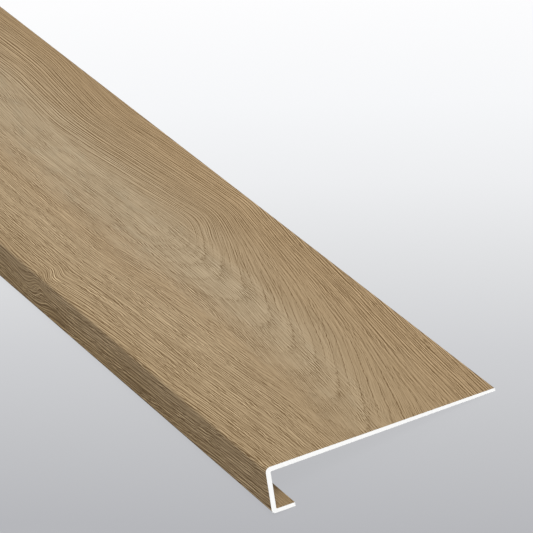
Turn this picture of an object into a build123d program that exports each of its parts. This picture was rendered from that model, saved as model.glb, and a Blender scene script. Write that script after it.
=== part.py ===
from build123d import *
import os
from math import atan2, cos, sin

# A stair tread cap: one long board that lies on the step, turns down over the
# front of the step as a square nose and turns back under it as a short lip.
# It is formed as one profile and sawn to length, so it is one solid.

# Driving dimensions, in millimetres
LENGTH = 1500.0  # sawn length, along the step
TREAD_DEPTH = 300.0  # from the nose's front face to the back edge
NOSE_HEIGHT = 60.0  # from the tread's top face to the lip's underside
LIP_DEPTH = 30.0  # from the nose's front face to the lip's tip
TREAD_FRONT_THICKNESS = 6.0  # tread board where it meets the nose
TREAD_BACK_THICKNESS = 4.0  # tread board at its back edge
NOSE_THICKNESS = 6.0
LIP_THICKNESS = 5.0
TOP_ARRIS_RADIUS = 6.0  # outer corner between tread and nose
BOTTOM_ARRIS_RADIUS = 5.0  # outer corner between nose and lip
INNER_CORNER_RADIUS = 1.0  # both corners of the channel that takes the step's nosing
BACK_BEVEL = 0.8  # eased top arris of the back edge

# Unheld on a floor it leans back on two lines: the lip's rear underside corner and the back edge's
# lower corner. The lean is the slope of the line through those two corners of the section.
lip_heel = (LIP_DEPTH, -NOSE_HEIGHT)
back_heel = (TREAD_DEPTH, -TREAD_BACK_THICKNESS)
lean = atan2(back_heel[1] - lip_heel[1], back_heel[0] - lip_heel[0])


def tread_section():
    """The profile, with the nose's front face at x = 0 and the tread's top face at y = 0."""
    lip_top = LIP_THICKNESS - NOSE_HEIGHT
    nose_top = (0, 0)
    back_top = (TREAD_DEPTH, 0)
    under_tread = (NOSE_THICKNESS, -TREAD_FRONT_THICKNESS)
    over_lip = (NOSE_THICKNESS, lip_top)
    lip_tip = (LIP_DEPTH, lip_top)
    nose_bottom = (0, -NOSE_HEIGHT)

    with BuildSketch() as section:
        with BuildLine():
            Polyline(
                nose_top, back_top, back_heel, under_tread,
                over_lip, lip_tip, lip_heel, nose_bottom,
                close=True,
            )
        make_face()

        def corner(point):
            return section.vertices().sort_by_distance(point)[0]

        fillet(corner(nose_top), TOP_ARRIS_RADIUS)
        fillet(corner(nose_bottom), BOTTOM_ARRIS_RADIUS)
        fillet(corner(under_tread), INNER_CORNER_RADIUS)
        fillet(corner(over_lip), INNER_CORNER_RADIUS)
        chamfer(corner(back_top), BACK_BEVEL)
    return section.sketch


def seated(solid):
    """The solid with the middle of its resting box's underside at the origin."""
    box = solid.bounding_box()
    return solid.moved(Location((-box.center().X, -box.center().Y, -box.min.Z)))


# The section stands across the step: its x runs from nose to back, leaning down, and X is the length.
section_plane = Plane(origin=(0, 0, 0), x_dir=(0, cos(lean), -sin(lean)), z_dir=(1, 0, 0))
stair_tread = seated(extrude(section_plane * tread_section(), amount=LENGTH / 2, both=True).solid())

os.makedirs("parts", exist_ok=True)
export_step(stair_tread, "parts/stair_tread.step")
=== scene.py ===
from math import atan2, cos, pi, radians, sin, tan
import bpy
import numpy as np
from mathutils import Matrix, Vector, noise


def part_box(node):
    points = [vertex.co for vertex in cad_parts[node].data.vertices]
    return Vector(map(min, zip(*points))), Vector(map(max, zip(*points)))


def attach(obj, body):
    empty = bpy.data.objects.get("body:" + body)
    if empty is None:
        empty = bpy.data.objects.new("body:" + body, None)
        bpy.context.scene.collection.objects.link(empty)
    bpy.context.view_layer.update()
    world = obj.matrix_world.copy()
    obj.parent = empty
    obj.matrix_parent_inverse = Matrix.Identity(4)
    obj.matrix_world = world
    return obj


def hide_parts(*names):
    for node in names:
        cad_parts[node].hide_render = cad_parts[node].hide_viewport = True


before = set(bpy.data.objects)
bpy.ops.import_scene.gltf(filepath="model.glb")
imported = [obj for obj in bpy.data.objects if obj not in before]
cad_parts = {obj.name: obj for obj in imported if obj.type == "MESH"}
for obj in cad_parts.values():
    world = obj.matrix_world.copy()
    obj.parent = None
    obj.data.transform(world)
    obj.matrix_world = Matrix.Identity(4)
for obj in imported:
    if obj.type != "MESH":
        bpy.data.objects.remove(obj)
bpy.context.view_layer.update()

# The tread cap's body: one white rigid plastic profile, board, square nose and return lip in one,
# pressed out through a die and sawn to length. It lies unheld, leaning back on its lip and back edge.
# Its section is walked once round, from the back edge's bevel over the top to the underside.
TREAD_DEPTH = 0.300
NOSE_HEIGHT = 0.060
LIP_DEPTH = 0.030
TREAD_FRONT_THICKNESS = 0.006
TREAD_BACK_THICKNESS = 0.004
NOSE_THICKNESS = 0.006
LIP_THICKNESS = 0.005
TOP_ARRIS_RADIUS = 0.006
BOTTOM_ARRIS_RADIUS = 0.005
INNER_CORNER_RADIUS = 0.001
BACK_BEVEL = 0.0008
FILM_PITCH = 0.0011  # mesh spacing round the film-faced side
PLAIN_PITCH = 0.015  # mesh spacing round the bare underside
LENGTH_PITCH = 0.007  # mesh spacing along the length
TOP_ARRIS_STEPS = 10
BOTTOM_ARRIS_STEPS = 8
INNER_CORNER_STEPS = 4
SHARP_RUNS = (0, 1, 6, 7, 8)  # runs of the section that start at a sharp corner

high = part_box("stair_tread")[1]
half_length = high[0]


def straight(start, end, pitch):
    """Points of a flat run of the section, its start included and its end left to the next run."""
    start, end = np.array(start), np.array(end)
    steps = max(1, round(float(np.linalg.norm(end - start)) / pitch))
    return start + (end - start) * np.arange(steps)[:, None] / steps


def bend(centre, radius, start_angle, end_angle, steps):
    """Points of a rounded corner of the section, its start included and its end left to the next run."""
    angles = np.radians(start_angle + (end_angle - start_angle) * np.arange(steps) / steps)
    return np.array(centre) + radius * np.stack([np.cos(angles), np.sin(angles)], 1)


def unit(ways):
    """The same directions, each one unit long."""
    return ways / np.linalg.norm(ways, axis=1)[:, None]


nose_foot = BOTTOM_ARRIS_RADIUS - NOSE_HEIGHT
lip_top = LIP_THICKNESS - NOSE_HEIGHT
taper = atan2(TREAD_FRONT_THICKNESS - TREAD_BACK_THICKNESS, TREAD_DEPTH - NOSE_THICKNESS)
inner_x = NOSE_THICKNESS + INNER_CORNER_RADIUS
inner_foot = lip_top + INNER_CORNER_RADIUS
inner_top = INNER_CORNER_RADIUS * (tan(taper) - 1 / cos(taper)) - TREAD_FRONT_THICKNESS
under_start = (inner_x - INNER_CORNER_RADIUS * sin(taper), inner_top + INNER_CORNER_RADIUS * cos(taper))
under_angle = 90 + np.degrees(taper)

film_runs = [
    straight((TREAD_DEPTH, -BACK_BEVEL), (TREAD_DEPTH - BACK_BEVEL, 0), BACK_BEVEL),
    straight((TREAD_DEPTH - BACK_BEVEL, 0), (TOP_ARRIS_RADIUS, 0), FILM_PITCH),
    bend((TOP_ARRIS_RADIUS, -TOP_ARRIS_RADIUS), TOP_ARRIS_RADIUS, 90, 180, TOP_ARRIS_STEPS),
    straight((0, -TOP_ARRIS_RADIUS), (0, nose_foot), FILM_PITCH),
    bend((BOTTOM_ARRIS_RADIUS, nose_foot), BOTTOM_ARRIS_RADIUS, 180, 270, BOTTOM_ARRIS_STEPS),
    straight((BOTTOM_ARRIS_RADIUS, -NOSE_HEIGHT), (LIP_DEPTH, -NOSE_HEIGHT), FILM_PITCH),
    straight((LIP_DEPTH, -NOSE_HEIGHT), (LIP_DEPTH, lip_top), FILM_PITCH),
    straight((LIP_DEPTH, lip_top), (inner_x, lip_top), FILM_PITCH),
]
bare_runs = [
    bend((inner_x, inner_foot), INNER_CORNER_RADIUS, 270, 180, INNER_CORNER_STEPS),
    straight((NOSE_THICKNESS, inner_foot), (NOSE_THICKNESS, inner_top), PLAIN_PITCH),
    bend((inner_x, inner_top), INNER_CORNER_RADIUS, 180, under_angle, INNER_CORNER_STEPS),
    straight(under_start, (TREAD_DEPTH, -TREAD_BACK_THICKNESS), PLAIN_PITCH),
    straight((TREAD_DEPTH, -TREAD_BACK_THICKNESS), (TREAD_DEPTH, -BACK_BEVEL), FILM_PITCH),
]
section = np.concatenate(film_runs + bare_runs)
run_starts = np.concatenate([[0], np.cumsum([len(run) for run in film_runs])])
film_count = run_starts[-1]
count = len(section)
corner = np.arange(count)
on_film = corner < film_count

# Girth: the distance walked round the section, and across, which is 0 at the middle of the top arris.
edges = np.linalg.norm(np.diff(section, axis=0, append=section[:1]), axis=1)
walked = np.concatenate([[0], np.cumsum(edges)[:-1]])
arris_middle = run_starts[2] + TOP_ARRIS_STEPS // 2
across = walked[arris_middle] - walked

# Outward direction at each point of the section, square to the mean of the two edges that meet there.
ahead = unit(np.roll(section, -1, axis=0) - section)
behind = unit(section - np.roll(section, 1, axis=0))
heading = ahead + behind
outward = unit(np.stack([heading[:, 1], -heading[:, 0]], 1))

lean = atan2(NOSE_HEIGHT - TREAD_BACK_THICKNESS, TREAD_DEPTH - LIP_DEPTH)
turn = np.array([[cos(lean), -sin(lean)], [sin(lean), cos(lean)]])
leaning = section @ turn
seat = np.array([high[1], 0.0]) - [leaning[:, 0].max(), leaning[:, 1].min()]

slices = round(2 * half_length / LENGTH_PITCH)
stations = np.linspace(-half_length, half_length, slices + 1)
along = half_length - stations  # distance from the near end
grid_along, grid_across = np.meshgrid(along, across, indexing="ij")

# The film: a thin plastic foil, printed and embossed with an oak figure and wrapped round the top, the
# nose and the lip. A heart tongue runs along the board, with arches that point to the near end.

# The eye: a smooth spot on the nose. The lines part and twist round it, and drop towards the nose beside it.
EYE_AT = (0.670, -0.028)  # along and across
EYE_REACH = (0.030, 0.016)
EYE_SPREAD = 0.45
SWIRL_REACH = (0.055, 0.022)
SWIRL = 0.022
DROP = 0.011
DROP_FROM = 0.664  # along
DROP_OVER = 0.036  # the length that they drop over
DROP_RUN = 0.12  # the length that they climb back over
DROP_REACH = 0.030  # how far this carries from the arris


def share(value, start, end):
    """0 up to the start, 1 from the end on, and evenly between."""
    return np.clip((value - start) / (end - start), 0, 1)


def mound(value):
    """1 at 0, falling off smoothly to both sides."""
    return np.exp(-(value**2))


def from_eye(reach):
    """How far along and across from the eye each point lies, counted in reaches."""
    return (grid_along - EYE_AT[0]) / reach[0], (grid_across - EYE_AT[1]) / reach[1]


eye_along, eye_across = from_eye(EYE_REACH)
parting = EYE_SPREAD * mound(eye_along) * mound(eye_across)
swirl_along, swirl_across = from_eye(SWIRL_REACH)
swirl = SWIRL * swirl_along * mound(swirl_along) * mound(swirl_across)
past_drop = DROP_FROM - grid_along
dropped = (1 - np.cos(pi * share(past_drop, 0, DROP_OVER))) / 2
dropped *= np.exp(-np.maximum(past_drop - DROP_OVER, 0) / DROP_RUN)
drop = DROP * dropped * mound(grid_across / DROP_REACH)
parted_across = grid_across - parting * (grid_across - EYE_AT[1]) + swirl + drop

# The wrap: the print is drawn out over the nose and gathered on the lip, so its lines part and close up.
NOSE_DRAW = 0.65
LIP_DRAW = 1.4
LIP_FROM = -0.060  # across, where the lip starts
printed_across = np.where(parted_across < 0, NOSE_DRAW * parted_across, parted_across)
printed_across += (LIP_DRAW - NOSE_DRAW) * np.minimum(parted_across - LIP_FROM, 0)

# Drift: how far the lines stray, the lengths of their waves along and across, and a layer of noise each.
BROAD_DRIFT = (0.003, 0.30, 0.09, 1.5)
FINE_DRIFT = (0.0005, 0.09, 0.018, 4.5)
LENGTHWISE_DRIFT = (0.004, 0.08, 0.014, 7.5)


def drift(far, along_wave, across_wave, layer):
    """Smooth noise over the print, straying about this far to both sides."""
    places = zip((grid_along / along_wave).ravel(), (printed_across / across_wave).ravel())
    strayed = np.array([noise.noise((p, q, layer)) for p, q in places])
    return far * strayed.reshape(grid_along.shape)


bent_across = printed_across + drift(*BROAD_DRIFT) + drift(*FINE_DRIFT)
bent_along = grid_along + drift(*LENGTHWISE_DRIFT)

# The pale heart: the line that it follows, as places along and across, and its width.
PALE_LINE = [
    (0.0, 0.135), (0.15, 0.160), (0.30, 0.168), (0.60, 0.164),
    (0.85, 0.166), (1.1, 0.172), (1.5, 0.175),
]
PALE_NARROWING = 0.4  # how much narrower it is where the arches are than at the tongue
PALE_REACH = 0.09
ARCHES_FROM = (0.62, 0.42)  # along, between which the tongue gives way to the arches
LINE_ROUNDING = 0.03  # how far to both sides the corners of a given line are rounded off
ROUNDING_STEPS = 13


def eased(points, at):
    """A line through given points, read at these places, with its corners rounded off."""
    places, values = np.array(sorted(points)).T
    shifts = np.linspace(-LINE_ROUNDING, LINE_ROUNDING, ROUNDING_STEPS)
    return np.mean([np.interp(at + shift, places, values) for shift in shifts], axis=0)


from_pale = bent_across - eased(PALE_LINE, bent_along)
narrowing = PALE_NARROWING * share(bent_along, *ARCHES_FROM)
from_pale *= 1 + narrowing * mound(from_pale / PALE_REACH)

# The growth rings: counted outwards from the heart line, which itself crosses a ring at each arch tip.
HEART_LINE = [
    (0.0, 0.126), (0.11, 0.140), (0.19, 0.147), (0.28, 0.154),
    (0.42, 0.168), (0.60, 0.170), (0.75, 0.172), (1.5, 0.172),
]
HEART_LEVEL = 0.168  # where the heart line would run if it were straight, which the outer rings follow
HEART_BEND_REACH = (0.08, 0.05)  # how far its bend carries towards the back edge and towards the nose
FAR_SWAY = [(0.0, 0.0), (0.68, 0.0), (0.95, -0.010), (1.05, -0.010), (1.25, 0.010), (1.5, 0.014)]
FAR_SWAY_FROM = (0.10, 0.19)  # across, between which the lines take up this sway near the far end
ARCH_TIPS = [0.602, 0.548, 0.497, 0.420, 0.335, 0.252, 0.185, 0.108, 0.005]  # along, from the heart outwards
RINGS_AN_ARCH = 2  # every other ring shows only beside the heart
HEART_RINGS = [(-0.1, 18.2), (0.655, -2.5), (1.5, 3.0)]  # before the near end, in the tongue, at the far end
# Rings a metre, rounding at the heart, where closer rings start, and how fast they close up.
BACK_RINGS = (162.0, 0.030, 0.055, 1300.0)
NOSE_RINGS = (105.0, 0.040, 0.030, 1900.0)
CLOSING_OVER = 0.05  # the width over which they close up
STRAIGHT_RINGS = 8.0  # rings at the heart for lines without arches
STRAIGHT_FROM = (0.03, 0.12)  # out from the heart, between which the arches straighten towards the nose
STRAIGHTENING = 0.65
FARTHEST_OUT = 0.6
OUTWARD_STEPS = 1200


def rings_out(distance, side):
    """Rings crossed on the way out from the heart line."""
    even, rounding, close_from, closing = side
    near = np.sqrt(distance**2 + rounding**2) - rounding
    close = np.clip(distance - close_from, 0, CLOSING_OVER)
    beyond = np.maximum(distance - close_from - CLOSING_OVER, 0)
    return even * near + closing * (close**2 + 2 * CLOSING_OVER * beyond)


def distance_out(rings, side):
    """How far out that many rings reach: rings_out read backwards."""
    distances = np.linspace(0, FARTHEST_OUT, OUTWARD_STEPS)
    return np.interp(rings, rings_out(distances, side), distances)


tip_rings = [(tip, RINGS_AN_ARCH * arch) for arch, tip in enumerate(ARCH_TIPS)]
heart_rings = eased(tip_rings + HEART_RINGS, bent_along)
heart_bend = eased(HEART_LINE, bent_along) - HEART_LEVEL
swayed = share(grid_across, *FAR_SWAY_FROM) * eased(FAR_SWAY, grid_along)
from_heart = bent_across - swayed - HEART_LEVEL
bend_reach = np.where(from_heart > heart_bend, *HEART_BEND_REACH)
from_heart -= heart_bend * mound((from_heart - heart_bend) / bend_reach)
behind_heart = from_heart > 0
out = np.abs(from_heart)
arched = 1 - STRAIGHTENING * share(-from_heart, *STRAIGHT_FROM)
rings = STRAIGHT_RINGS + (heart_rings - STRAIGHT_RINGS) * arched
rings += np.where(behind_heart, rings_out(out, BACK_RINGS), rings_out(out, NOSE_RINGS))

# Flow: a place across that stays the same along each growth line, so that dashes laid by it follow the lines.
BACK_FLOW = 1.25  # how much finer the dashes are behind the heart than on the nose side
SLOWEST_FLOW = 0.1  # the least change of flow across that is told apart
FAN_FINER = 3.0  # how much finer the print is made where the limbs fan out
outer_rings = np.maximum(rings - heart_rings.min(), 0)
back_flow = BACK_FLOW * distance_out(outer_rings, BACK_RINGS)
flow = np.where(behind_heart, back_flow, -distance_out(outer_rings, NOSE_RINGS))
flow_rate = np.abs(np.gradient(flow, axis=1) / np.gradient(across))
fanned = share(1 / np.maximum(flow_rate, SLOWEST_FLOW), 1, FAN_FINER)

# The embossing: a very shallow groove at the start of each ring, fading out before the sharp corners.
RELIEF_DEPTH = 0.00008
RELIEF_FADE = 0.004
GROOVE_SIDE = 0.06  # the share of a ring over which the groove reaches its depth
GROOVE_WIDTH = 0.4  # the share of a ring at which it has run out again
to_corner = np.abs(walked[:, None] - walked[run_starts[list(SHARP_RUNS)]]).min(1)
pressed = share(to_corner, 0, RELIEF_FADE) * on_film
ring_part = np.mod(rings, 1)
groove = share(ring_part, GROOVE_WIDTH, 0) * share(ring_part, 0, GROOVE_SIDE)
sunk = RELIEF_DEPTH * groove * pressed

# The mesh: the section swept along the length as rings of quads, with a flat face on each sawn end.
FILM_FINISH = 0
BARE_FINISH = 1
SHARP_ANGLE = radians(30)
placed = (section - outward * sunk[:, :, None]) @ turn + seat
lengthwise = np.broadcast_to(stations[:, None, None], (*placed.shape[:2], 1))
points = np.concatenate([lengthwise, placed], axis=2).reshape(-1, 3)
following = np.roll(corner, -1)
faces = []
for step in range(slices):
    far = step * count
    near = far + count
    faces += np.stack([far + corner, far + following, near + following, near + corner], 1).tolist()
faces.append((slices * count + corner).tolist())
faces.append(corner[::-1].tolist())
finishes = np.where(on_film, FILM_FINISH, BARE_FINISH).tolist() * slices + [BARE_FINISH, BARE_FINISH]

mesh = bpy.data.meshes.new("stair_tread_cap")
mesh.from_pydata(points.tolist(), [], faces)
mesh.polygons.foreach_set("material_index", finishes)
mesh.polygons.foreach_set("use_smooth", [True] * len(faces))
mesh.set_sharp_from_angle(angle=SHARP_ANGLE)
grain = np.stack([grid_along, from_heart, flow], 2)
mesh.attributes.new("grain", "FLOAT_VECTOR", "POINT").data.foreach_set("vector", grain.ravel())
for name, values in (("ring", rings), ("pale", from_pale), ("fanned", fanned)):
    mesh.attributes.new(name, "FLOAT", "POINT").data.foreach_set("value", values.ravel())

# The map for baking: the film laid flat, the bare faces below it, and the two sawn ends side by side.
SHEET_WIDTH = (0.005, 0.995)
FILM_BAND = (0.33, 0.995)
BARE_BAND = (0.10, 0.32)
END_BAND = (0.005, 0.09)
NEAR_END_WIDTH = (0.005, 0.495)
FAR_END_WIDTH = (0.505, 0.995)
film_girth = walked[film_count]


def band_place(walk):
    """Height on the map of points this far round the section, at each face's own start or end."""
    on_film_band = np.interp(walk, [0, film_girth], FILM_BAND)
    on_bare_band = np.interp(walk, [film_girth, edges.sum()], BARE_BAND)
    return np.where(on_film, on_film_band, on_bare_band)


def end_place(outline, width):
    """Places on the map for the outline of a sawn end."""
    map_corner = np.array([width[0], END_BAND[0]])
    map_size = np.array([np.ptp(width), np.ptp(END_BAND)])
    return map_corner + map_size * (outline - outline.min(0)) / np.ptp(outline, axis=0)


sheet_along = np.linspace(*SHEET_WIDTH, slices + 1)[:, None, None]
laid = np.empty((slices, count, 4, 2))
laid[:, :, :2, 0] = sheet_along[:-1]
laid[:, :, 2:, 0] = sheet_along[1:]
laid[:, :, [0, 3], 1] = band_place(walked)[:, None]
laid[:, :, [1, 2], 1] = band_place(walked + edges)[:, None]
laid_ends = [end_place(placed[-1], NEAR_END_WIDTH), end_place(placed[0][::-1], FAR_END_WIDTH)]
bake_map = np.concatenate([laid.reshape(-1, 2)] + laid_ends)
mesh.uv_layers.new(name="OFBake").uv.foreach_set("vector", bake_map.ravel())

tread = bpy.data.objects.new("stair_tread_cap", mesh)
bpy.context.scene.collection.objects.link(tread)


def paint(red, green, blue):
    """A colour given in display levels from 0 to 255, as the light values that a shader takes."""
    levels = np.array([red, green, blue]) / 255
    light = np.where(levels <= 0.04045, levels / 12.92, ((levels + 0.055) / 1.055) ** 2.4)
    return (*light.tolist(), 1.0)


class Recipe:
    """The node tree of a finish, with a plain word for each step by which its colour is mixed."""

    def __init__(self, tree):
        self.tree = tree

    def add(self, kind, inputs=(), **settings):
        """A new node. Each input is a value for its socket, or another node's output to link to it."""
        made = self.tree.nodes.new(kind)
        for name, value in settings.items():
            setattr(made, name, value)
        for name, value in dict(inputs).items():
            if isinstance(value, bpy.types.NodeSocket):
                self.tree.links.new(value, made.inputs[name])
            else:
                made.inputs[name].default_value = value
        return made

    def carried(self, name, output="Fac"):
        """What the mesh carries under this name."""
        return self.add("ShaderNodeAttribute", attribute_name=name).outputs[output]

    def reckoned(self, operation, *values):
        """The result of one step of arithmetic."""
        return self.add("ShaderNodeMath", enumerate(values), operation=operation).outputs[0]

    def times(self, value, factor):
        """One value times another."""
        return self.reckoned("MULTIPLY", value, factor)

    def weighted(self, value, weight, base):
        """A value times its weight, added to a base."""
        return self.reckoned("MULTIPLY_ADD", value, weight, base)

    def larger(self, first, second):
        """The larger of two values."""
        return self.reckoned("MAXIMUM", first, second)

    def about(self, value, middle=0.5):
        """A value counted from its middle, above and below 0."""
        return self.reckoned("SUBTRACT", value, middle)

    def faded(self, value, where, loss=1.0):
        """A value that loses this much of itself where the other one is 1."""
        return self.times(value, self.weighted(where, -loss, 1.0))

    def share(self, value, start, end, full=1.0, easing="LINEAR"):
        """0 up to the start, full from the end on, and evenly or smoothly between."""
        span = {"Value": value, "From Min": start, "From Max": end, "To Max": full}
        return self.add("ShaderNodeMapRange", span, interpolation_type=easing).outputs[0]

    def mixed(self, amount, first, second):
        """A value that goes over from the first to the second."""
        return self.add("ShaderNodeMix", {0: amount, 2: first, 3: second}, data_type="FLOAT").outputs[0]

    def tinted(self, amount, colour, tint, **settings):
        """A colour that goes over into a tint."""
        sockets = {0: amount, 6: colour, 7: tint}
        return self.add("ShaderNodeMix", sockets, data_type="RGBA", **settings).outputs[2]

    def graded(self, value, stops):
        """A value read through a ramp of stops, each a place with a grey or a colour."""
        ramp = self.add("ShaderNodeValToRGB", {"Fac": value})
        elements = ramp.color_ramp.elements
        while len(elements) < len(stops):
            elements.new(0.5)
        for element, (place, colour) in zip(elements, stops):
            element.position = place
            element.color = colour if isinstance(colour, tuple) else (colour, colour, colour, 1.0)
        return ramp.outputs["Color"]

    def speckle(self, x, y, z, detail=2.0, roughness=0.5):
        """Noise from 0 to 1 over three scaled coordinates."""
        place = self.add("ShaderNodeCombineXYZ", {"X": x, "Y": y, "Z": z}).outputs[0]
        grains = {"Vector": place, "Scale": 1.0, "Detail": detail, "Roughness": roughness}
        return self.add("ShaderNodeTexNoise", grains).outputs[0]


film = bpy.data.materials.new("oak_film")
film.use_nodes = True
oak = Recipe(film.node_tree)
sheet = oak.carried("grain", "Vector")
film_along, off_heart, line_flow = oak.add("ShaderNodeSeparateXYZ", {"Vector": sheet}).outputs
ring = oak.carried("ring")
off_pale = oak.carried("pale")
fanned_out = oak.carried("fanned")


def film_noise(place, along_waves, across_waves, layer, detail=2.0, roughness=0.5, shift=0.0):
    """Noise from 0 to 1, so many waves a metre along the film, and across it as this place is counted."""
    x = oak.times(film_along, along_waves)
    y = oak.weighted(place, across_waves, shift)
    return oak.speckle(x, y, layer, detail, roughness)


# Zones of the film, each by the two places between which it sets in: off the heart line, or along.
BACK_LIMBS = (0.015, 0.045)
NOSE_LIMBS = (-0.035, -0.075)
FAR_TONGUE = (0.58, 0.65)
OUTER_BACK = (0.05, 0.12)
FAR_EDGE = (0.075, 0.115)
FAR_EDGE_ALONG = (0.8, 1.1)
BELOW_HEART = (0.008, -0.012)
CLEAR_OF_NOSE = (-0.095, -0.060)
back_side = oak.share(off_heart, *BACK_LIMBS, easing="SMOOTHSTEP")
nose_side = oak.share(off_heart, *NOSE_LIMBS, easing="SMOOTHSTEP")
aside = oak.larger(back_side, nose_side)
far_tongue = oak.share(film_along, *FAR_TONGUE)
far_tongue_middle = oak.faded(far_tongue, aside)
far_back = oak.times(back_side, far_tongue)
outer_back = oak.share(off_heart, *OUTER_BACK)
far_edge = oak.times(oak.share(off_heart, *FAR_EDGE), oak.share(film_along, *FAR_EDGE_ALONG))
below_heart = oak.share(off_heart, *BELOW_HEART)
nose_limbs = oak.times(below_heart, oak.share(off_heart, *CLEAR_OF_NOSE))

# Broad tone: paler and greyer at the heart, browner towards the back edge and the nose.
# Noise is given by its waves a metre along and across, and its layer.
TONE_SPAN = (-0.235, 0.13)
TONES = [
    (0.00, paint(157, 134, 104)),
    (0.06, paint(154, 128, 90)),
    (0.18, paint(174, 150, 116)),
    (0.38, paint(181, 158, 125)),
    (0.45, paint(176, 152, 119)),
    (0.52, paint(177, 155, 124)),
    (0.60, paint(179, 159, 129)),
    (0.69, paint(179, 159, 129)),
    (0.80, paint(170, 147, 115)),
    (0.96, paint(172, 146, 111)),
]
MOTTLE = (9.0, 60.0, 0.0)
MOTTLE_SHIFT = 0.04  # how far the mottle shifts the tones
NEAR_END_TONE = paint(168, 144, 110)
NEAR_END = (0.45, -0.05)
NEAR_END_SHARE = 0.75
GREY_TONE = paint(170, 154, 127)
GREY_PATCHES = (22.0, 60.0, 37.0)
GREY_SHARES = [(0.50, 0.0), (0.70, 0.45)]
GREY_AT_ARCHES = 0.4
mottle = oak.about(film_noise(off_pale, *MOTTLE))
tone_place = oak.share(oak.weighted(mottle, MOTTLE_SHIFT, off_pale), *TONE_SPAN)
tone = oak.graded(tone_place, TONES)
near_end = oak.faded(oak.share(film_along, *NEAR_END, full=NEAR_END_SHARE), outer_back)
tone = oak.tinted(near_end, tone, NEAR_END_TONE)
greyed = oak.faded(oak.graded(film_noise(off_pale, *GREY_PATCHES), GREY_SHARES), aside)
greyed = oak.times(greyed, oak.weighted(far_tongue, 1 - GREY_AT_ARCHES, GREY_AT_ARCHES))
tone = oak.tinted(greyed, tone, GREY_TONE)

# Growth lines: a narrow dark porous start to each ring with a light flank, some rings stronger than others.
WANDER = (40.0, 420.0, 0.0)
HEART_JAG = 1.7  # how jagged the lines are at the arch tips, in rings
LIMB_JAG = 0.3  # and along the limbs
BACK_LIMB_JAG = (0.008, 0.030)  # off the heart, between which the one gives way to the other
NOSE_LIMB_JAG = (-0.012, -0.035)
EARLY_WOOD = [(0.0, 0.30), (0.03, 1.0), (0.08, 0.95), (0.13, 0.22), (0.45, 0.27), (1.0, 0.30)]
EARLY_WOOD_MIDDLE = 0.33
ODD_RINGS_OPEN = (0.012, 0.035)  # off the heart, between which every other ring starts to show
RING_CONTRAST = 0.4
FADES = (18.0, 150.0, 3.0)
FADE_CONTRAST = 1.6
FADE_LEVEL = -0.25
SPARED_LOSS = 0.8  # how much fainter odd rings are at the heart, and all rings in the far tongue
LINE_WEIGHT = 0.70
LINE_GAIN_BACK = 0.85
LINE_LOSS_NOSE_LIMBS = 0.22
limb = oak.larger(oak.share(off_heart, *BACK_LIMB_JAG), oak.share(off_heart, *NOSE_LIMB_JAG))
jag = oak.weighted(limb, LIMB_JAG - HEART_JAG, HEART_JAG)
counted = oak.weighted(oak.about(film_noise(off_heart, *WANDER)), jag, ring)
early = oak.graded(oak.reckoned("FRACT", counted), EARLY_WOOD)
which = oak.reckoned("FLOOR", counted)
chance = oak.add("ShaderNodeTexWhiteNoise", {"W": which}, noise_dimensions="1D").outputs["Value"]
opened = oak.larger(oak.share(off_heart, *ODD_RINGS_OPEN), nose_side)
odd = oak.faded(oak.reckoned("FLOORED_MODULO", which, RINGS_AN_ARCH), opened)
spared = oak.larger(odd, far_tongue_middle)
fades = oak.weighted(film_noise(line_flow, *FADES), FADE_CONTRAST, FADE_LEVEL)
strength = oak.faded(oak.weighted(chance, RING_CONTRAST, fades), spared, SPARED_LOSS)
line = oak.times(oak.about(early, EARLY_WOOD_MIDDLE), strength)
line_weight = oak.weighted(back_side, LINE_GAIN_BACK, LINE_WEIGHT)
line_weight = oak.weighted(nose_limbs, -LINE_LOSS_NOSE_LIMBS, line_weight)
line = oak.times(line, line_weight)

# Arch tips: a broad smudge behind each main line, only at the heart and fainter below it.
SMUDGE = [(0.0, 0.4), (0.05, 1.0), (0.18, 0.75), (0.42, 0.4), (0.65, 0.1), (0.92, 0.0), (1.0, 0.4)]
SMUDGE_MIDDLE = 0.4
SMUDGE_LOSS_BELOW = 0.65
SMUDGE_WEIGHT = 0.28
arch_place = oak.reckoned("FRACT", oak.times(counted, 1 / RINGS_AN_ARCH))
smudge = oak.about(oak.graded(arch_place, SMUDGE), SMUDGE_MIDDLE)
smudge = oak.faded(oak.faded(smudge, aside), far_tongue)
smudge = oak.faded(smudge, below_heart, SMUDGE_LOSS_BELOW)

# Pores: dashes of several lengths, by their waves a metre along and across, layer and detail of noise.
STRANDS = (8.0, 460.0, 0.0, 1.0)
DASHES = (26.0, 560.0, 5.0, 1.0)
FLECKS = (70.0, 760.0, 12.0, 0.0)
STREAKS = (7.0, 170.0, 15.0, 3.0)
FIBRES = (90.0, 3600.0, 9.0, 1.0)
# The strands, the dashes and the flecks each get a painted highlight to both sides, which keeps them thin.
STRAND_HIGHLIGHT_REACH = 0.0012  # how far to both sides of each mark its painted highlights lie
DASH_HIGHLIGHT_REACH = 0.0010
FLECK_HIGHLIGHT_REACH = 0.0008
DASH_ROUGHNESS = 0.6
ASIDE_LAYER = 20.0  # added to a layer for the dashes aside of the heart, and for those in the fan
FAN_LAYER = 40.0
CRISP_CONTRAST = 0.60
CRISP_DARKENING = 1.10
CRISP_LEVEL = -0.010


def dashes(along_waves, across_waves, layer, detail, shift=0.0):
    """Dashes straight along the board at the heart, along the lines aside, finer where those fan out."""
    rest = (detail, DASH_ROUGHNESS, shift * across_waves)
    by_heart = film_noise(off_heart, along_waves, across_waves, layer, *rest)
    by_ring = film_noise(line_flow, along_waves, across_waves, layer + ASIDE_LAYER, *rest)
    by_fan = film_noise(line_flow, along_waves, FAN_FINER * across_waves, layer + FAN_LAYER, *rest)
    return oak.mixed(aside, by_heart, oak.mixed(fanned_out, by_ring, by_fan))


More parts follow.
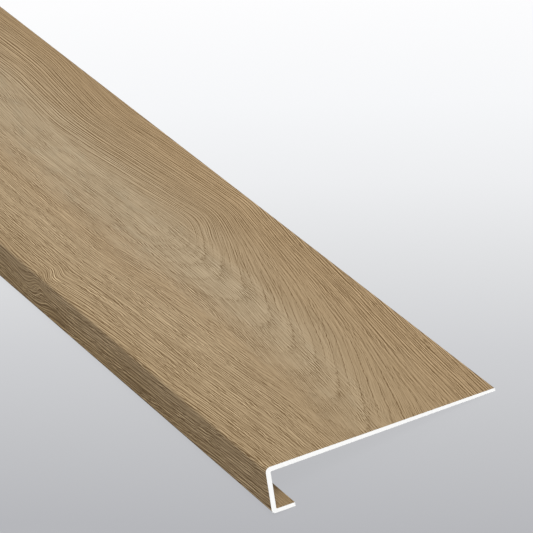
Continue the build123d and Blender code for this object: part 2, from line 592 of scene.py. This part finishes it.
def dashes_with_painted_highlights(flank, kind):
    """Dashes with a painted highlight to both sides, so that each stays a thin line: above 0 dark, below 0
    painted highlight.
    """
    painted_highlights = oak.mixed(0.5, dashes(*kind, flank), dashes(*kind, -flank))
    thin = oak.reckoned("SUBTRACT", dashes(*kind), painted_highlights)
    even = oak.weighted(thin, CRISP_CONTRAST, CRISP_LEVEL)
    return oak.weighted(oak.larger(thin, 0.0), CRISP_DARKENING, even)


strand_and_highlights = dashes_with_painted_highlights(STRAND_HIGHLIGHT_REACH, STRANDS)
dash_and_highlights = dashes_with_painted_highlights(DASH_HIGHLIGHT_REACH, DASHES)
fleck_and_highlights = dashes_with_painted_highlights(FLECK_HIGHLIGHT_REACH, FLECKS)
streak = oak.about(dashes(*STREAKS))
fibre = oak.about(dashes(*FIBRES))

# How strong the long and the short dashes are, from the lip over the nose and the heart to the back edge.
GRAIN_SPAN = (-0.25, 0.15)  # off the heart
LONG_WEIGHTS = [
    (0.03, 0.40), (0.10, 1.05), (0.15, 0.95), (0.19, 0.45), (0.24, 0.33),
    (0.34, 0.24), (0.49, 0.17), (0.62, 0.10), (0.82, 0.18), (0.93, 0.74),
]
SHORT_WEIGHTS = [
    (0.03, 0.55), (0.10, 1.30), (0.15, 1.20), (0.19, 0.70), (0.24, 0.61),
    (0.46, 0.56), (0.60, 0.32), (0.74, 0.24), (0.93, 0.47),
]
LONG_FAR_BACK = 1.05
LONG_FAR_BACK_SHARE = 0.6
LONG_LOSS_FAR_EDGE = 0.6
SHORT_LOSS_FAR_BACK = 0.45
CLUSTERS = (15.0, 110.0, 6.0)  # where flecks gather
CLUSTER_SHARES = [(0.46, 0.0), (0.62, 1.0)]
CLUSTER_LOSS_BACK = 0.25
CLUSTER_LOSS_FAR_BACK = 0.7
CLUSTERS_BY_SMUDGE = 1.2
grain_place = oak.share(off_heart, *GRAIN_SPAN)
far_back_share = oak.times(far_back, LONG_FAR_BACK_SHARE)
long_weight = oak.mixed(far_back_share, oak.graded(grain_place, LONG_WEIGHTS), LONG_FAR_BACK)
long_weight = oak.faded(long_weight, far_edge, LONG_LOSS_FAR_EDGE)
short_weight = oak.faded(oak.graded(grain_place, SHORT_WEIGHTS), far_back, SHORT_LOSS_FAR_BACK)
clusters = oak.graded(film_noise(line_flow, *CLUSTERS), CLUSTER_SHARES)
clusters = oak.faded(clusters, back_side, CLUSTER_LOSS_BACK)
clusters = oak.faded(clusters, far_back, CLUSTER_LOSS_FAR_BACK)
clusters = oak.larger(clusters, oak.times(smudge, CLUSTERS_BY_SMUDGE))

# The print's dark marks and the dashes' painted highlights, all together: from 0 at the plain tone to 1 at
# dark oak, below 0 lighter.
DARK_OAK = paint(112, 88, 57)
DASH_WEIGHT = 4.4
STREAK_WEIGHT = 1.3
FLECK_WEIGHT = 10.0
STRAND_WEIGHT = 7.2
BANDING = 0.45
BANDING_LOSS_BACK = 0.27
BANDING_GAIN_FAR_BACK = 0.30
PATCHES = (3.5, 85.0, 30.0, 1.0)
PATCH_WEIGHT = 0.30
FIBRE_WEIGHT = 0.25
FIBRE_LOSS_FAR_BACK = 0.17
FAR_EDGE_DARKENING = 0.09
DARKEST = 0.95
DARKEST_EASING = 0.2
short_ink_and_highlights = oak.weighted(dash_and_highlights, DASH_WEIGHT, oak.times(streak, STREAK_WEIGHT))
short_ink_and_highlights = oak.weighted(oak.times(fleck_and_highlights, clusters), FLECK_WEIGHT, short_ink_and_highlights)
ink_and_highlights = oak.weighted(short_ink_and_highlights, short_weight, line)
ink_and_highlights = oak.weighted(strand_and_highlights, oak.times(long_weight, STRAND_WEIGHT), ink_and_highlights)
banding = oak.weighted(far_back, BANDING_GAIN_FAR_BACK, BANDING)
ink_and_highlights = oak.weighted(streak, oak.weighted(back_side, -BANDING_LOSS_BACK, banding), ink_and_highlights)
ink_and_highlights = oak.weighted(smudge, SMUDGE_WEIGHT, ink_and_highlights)
ink_and_highlights = oak.weighted(oak.about(film_noise(off_heart, *PATCHES)), PATCH_WEIGHT, ink_and_highlights)
ink_and_highlights = oak.weighted(fibre, oak.weighted(far_back, -FIBRE_LOSS_FAR_BACK, FIBRE_WEIGHT), ink_and_highlights)
ink_and_highlights = oak.weighted(far_edge, FAR_EDGE_DARKENING, ink_and_highlights)
ink_and_highlights = oak.reckoned("SMOOTH_MIN", ink_and_highlights, DARKEST, DARKEST_EASING)
oak_colour = oak.tinted(ink_and_highlights, tone, DARK_OAK, clamp_factor=False)

# The film's face: matt, with the pores pressed in.
FILM_ROUGHNESS = 0.7
FILM_SHINE = 0.1
PORE_PRESS = -1.5
PORE_STRENGTH = 0.4
PORE_DEPTH = 0.0004
pores = oak.times(oak.reckoned("ADD", dash_and_highlights, strand_and_highlights), PORE_PRESS)
press = oak.add("ShaderNodeBump", {"Height": pores, "Strength": PORE_STRENGTH, "Distance": PORE_DEPTH})
shader = film.node_tree.nodes["Principled BSDF"]
film.node_tree.links.new(oak_colour, shader.inputs["Base Color"])
film.node_tree.links.new(press.outputs["Normal"], shader.inputs["Normal"])
shader.inputs["Roughness"].default_value = FILM_ROUGHNESS
shader.inputs["Specular IOR Level"].default_value = FILM_SHINE

# The bare body shows at the sawn ends, the back edge and the hidden faces: white, with faint die lines
# along its length and faint saw marks across its ends.
BODY_WHITES = [(0.3, paint(245, 245, 244)), (0.7, paint(253, 253, 252))]
BODY_MARKS = (1.5, 900.0, 60.0)  # waves a metre along, across and up
BODY_ROUGHNESS = 0.55
BODY_SHINE = 0.3
body = bpy.data.materials.new("white_body")
body.use_nodes = True
white = Recipe(body.node_tree)
spot = white.add("ShaderNodeTexCoord").outputs["Object"]
axes = white.add("ShaderNodeSeparateXYZ", {"Vector": spot}).outputs
marks = white.speckle(*[white.times(axis, waves) for axis, waves in zip(axes, BODY_MARKS)])
shader = body.node_tree.nodes["Principled BSDF"]
body.node_tree.links.new(white.graded(marks, BODY_WHITES), shader.inputs["Base Color"])
shader.inputs["Roughness"].default_value = BODY_ROUGHNESS
shader.inputs["Specular IOR Level"].default_value = BODY_SHINE

mesh.materials.append(film)
mesh.materials.append(body)
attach(tread, "root")
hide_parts("stair_tread")

# The floor: a plain sheet of studio paper under the cap, with painted shade from white at the far side to
# grey towards the viewer. To the viewer it mostly glows with this painted shade; from below it gives the cap
# a plain grey.
FLOOR_REACH = 40.0
FLOOR_DROP = 0.0002  # how far it lies below the cap
SWEEP_WAY = (0.580, -0.8145, 0.0)  # towards the viewer's lower edge
SWEEP_START = -0.542
SWEEP_LENGTH = 1.124
SWEEP = [
    (0.0, paint(253, 253, 254)),
    (0.22, paint(246, 247, 249)),
    (0.38, paint(237, 238, 240)),
    (0.54, paint(222, 223, 225)),
    (0.69, paint(207, 208, 211)),
    (0.84, paint(195, 196, 199)),
    (1.0, paint(182, 183, 187)),
]
GLOW_SHARE = 0.93  # the share that glows with the painted shade; the rest is lit and takes the cap's shadow
UNSEEN_GREY = (0.35, 0.35, 0.35, 1.0)
floor_mesh = bpy.data.meshes.new("floor")
floor_corners = [(-1, -1), (1, -1), (1, 1), (-1, 1)]
floor_points = [(x * FLOOR_REACH, y * FLOOR_REACH, -FLOOR_DROP) for x, y in floor_corners]
floor_mesh.from_pydata(floor_points, [], [(0, 1, 2, 3)])
floor = bpy.data.objects.new("floor", floor_mesh)
bpy.context.scene.collection.objects.link(floor)

paper = bpy.data.materials.new("floor_paper")
paper.use_nodes = True
paper.node_tree.nodes.remove(paper.node_tree.nodes["Principled BSDF"])
shade = Recipe(paper.node_tree)
spot = shade.add("ShaderNodeTexCoord").outputs["Object"]
reach = shade.add("ShaderNodeVectorMath", {0: spot, 1: SWEEP_WAY}, operation="DOT_PRODUCT").outputs["Value"]
sweep = shade.graded(shade.reckoned("DIVIDE", shade.about(reach, SWEEP_START), SWEEP_LENGTH), SWEEP)
lit = shade.add("ShaderNodeBsdfDiffuse", {"Color": sweep}).outputs[0]
glow = shade.add("ShaderNodeEmission", {"Color": sweep, "Strength": 1.0}).outputs[0]
seen = shade.add("ShaderNodeMixShader", {"Fac": GLOW_SHARE, 1: lit, 2: glow}).outputs[0]
unseen = shade.add("ShaderNodeBsdfDiffuse", {"Color": UNSEEN_GREY}).outputs[0]
ray = shade.add("ShaderNodeLightPath").outputs
shown = shade.larger(ray["Is Camera Ray"], ray["Is Glossy Ray"])
shown = shade.larger(shown, ray["Is Transmission Ray"])
surface = shade.add("ShaderNodeMixShader", {"Fac": shown, 1: unseen, 2: seen}).outputs[0]
paper.node_tree.links.new(surface, paper.node_tree.nodes["Material Output"].inputs["Surface"])
floor_mesh.materials.append(paper)

# The light: an even white dome, and one broad soft lamp that shines from beyond the near end, so that
# the top is bright and the nose stays in shade.
DOME_LEVEL = 0.40
BACKDROP_LEVEL = 1.0
KEY_LEVEL = 0.90
KEY_FROM = Vector((0.725, -0.045, 0.687))
KEY_SPREAD = radians(30)
world = bpy.data.worlds.new("dome")
bpy.context.scene.world = world
world.use_nodes = True
dome = Recipe(world.node_tree)
ray = dome.add("ShaderNodeLightPath").outputs
level = dome.mixed(ray["Is Camera Ray"], DOME_LEVEL, BACKDROP_LEVEL)
backdrop = world.node_tree.nodes["Background"]
world.node_tree.links.new(level, backdrop.inputs["Strength"])
backdrop.inputs["Color"].default_value = (1.0, 1.0, 1.0, 1.0)
key = bpy.data.lights.new("key", "SUN")
key.energy = KEY_LEVEL * pi
key.angle = KEY_SPREAD
key_lamp = bpy.data.objects.new("key", key)
key_lamp.rotation_euler = KEY_FROM.to_track_quat("Z", "Y").to_euler()
bpy.context.scene.collection.objects.link(key_lamp)

# The camera: far off with a long lens, looking down on the near end, and rolled so that the board
# climbs to the left.
AIM = Vector((0.27229, 0.08573, 0.01778))
DISTANCE = 7.3696
AZIMUTH = radians(73.973)
ELEVATION = radians(29.444)
ROLL = radians(-21.397)
LENS = 405.25
SENSOR = 36.0
FARTHEST_SEEN = 200.0
away = Vector((sin(AZIMUTH) * cos(ELEVATION), -cos(AZIMUTH) * cos(ELEVATION), sin(ELEVATION)))
camera = bpy.data.cameras.new("camera")
camera.lens = LENS
camera.sensor_width = SENSOR
camera.clip_end = FARTHEST_SEEN
viewer = bpy.data.objects.new("camera", camera)
rolled = away.to_track_quat("Z", "Y").to_matrix() @ Matrix.Rotation(ROLL, 3, "Z")
viewer.matrix_world = Matrix.Translation(AIM + away * DISTANCE) @ rolled.to_4x4()
bpy.context.scene.collection.objects.link(viewer)
bpy.context.scene.camera = viewer
bpy.context.scene.view_settings.view_transform = "Standard"
